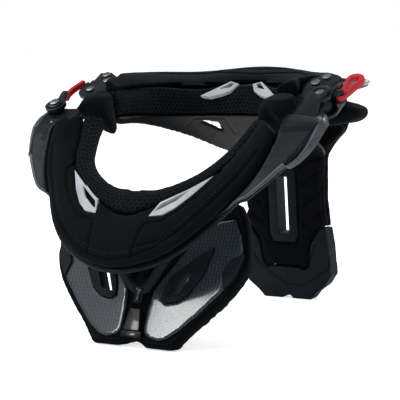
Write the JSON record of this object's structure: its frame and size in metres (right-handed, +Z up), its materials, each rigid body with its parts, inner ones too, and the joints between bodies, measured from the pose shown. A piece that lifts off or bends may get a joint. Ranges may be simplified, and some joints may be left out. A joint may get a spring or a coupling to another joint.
{
  "type": "motocross neck brace",
  "caption": "Open-centre motocross neck brace with a padded ring, chest plates with windows in front and a slotted back plate behind, hinged on one side.",
  "frame": {"origin": "on the floor that the brace stands on, in its centre plane, midway between its front and rear ends", "axes": "+Z up as the brace stands on its chest and back plates, -Y to the wearer's front, +X to the wearer's left"},
  "size_m": [0.274, 0.3116, 0.2146],
  "materials": {
    "pad_cloth": "matt knitted polyester over foam",
    "mesh_cloth": "open spacer mesh",
    "carbon": "clear-coated carbon fibre",
    "moulded": "fine-grained glass-filled nylon",
    "rubber": "satin elastomer",
    "silver": "silver-painted",
    "steel": "satin",
    "red": "moulded nylon"
  },
  "bodies": {
    "front": {"front_frame": "carbon", "front_pad": "pad_cloth", "front_collar": "mesh_cloth", "front_insert_left": "silver", "front_insert_right": "silver", "arm_lip_left": "silver", "arm_lip_right": "silver", "chest_backing": "pad_cloth", "chest_plate_left": "carbon", "chest_plate_right": "carbon", "chest_window_frame_left": "rubber", "chest_window_frame_right": "rubber", "chest_wedge_left": "moulded", "chest_wedge_right": "moulded", "chest_buckle": "moulded", "chest_foot_bar": "steel", "latch_knob": "moulded"},
    "rear": {"rear_frame": "carbon", "rear_pad": "pad_cloth", "rear_collar": "mesh_cloth", "rear_insert_left": "silver", "rear_insert_right": "silver", "rear_lower_shell": "moulded", "back_plate": "moulded", "back_pad": "pad_cloth", "back_foot_cap": "rubber", "back_window_frame": "rubber", "rear_sleeve_left": "pad_cloth", "rear_sleeve_right": "pad_cloth", "shoulder_pad_left": "pad_cloth", "shoulder_pad_right": "pad_cloth", "clevis_left": "moulded", "clevis_right": "moulded", "flange_screw_left_1": "steel", "flange_screw_left_2": "steel", "flange_screw_right_1": "steel", "flange_screw_right_2": "steel", "hinge_screw": "steel", "cap_screw": "steel"},
    "latch_lever": {"latch_link": "moulded", "latch_band": "red", "latch_ring": "steel"},
    "release_lever": {"release_loop": "red"}
  },
  "joints": [
    {"name": "rear_opening", "type": "hinge", "parent": "front", "child": "rear", "pos_m": [0.111, -0.01277, 0.19713], "axis": [0, 0.5, -0.866], "range_deg": [0, 50]},
    {"name": "latch_lever_swing", "type": "hinge", "parent": "front", "child": "latch_lever", "pos_m": [-0.124, -0.04308, 0.17963], "axis": [0, -0.5, 0.866], "range_deg": [0, 60]},
    {"name": "release_lever_swing", "type": "hinge", "parent": "rear", "child": "release_lever", "pos_m": [0.1262, -0.00931, 0.19913], "axis": [0, 0.5, -0.866], "range_deg": [0, 50]}
  ]
}
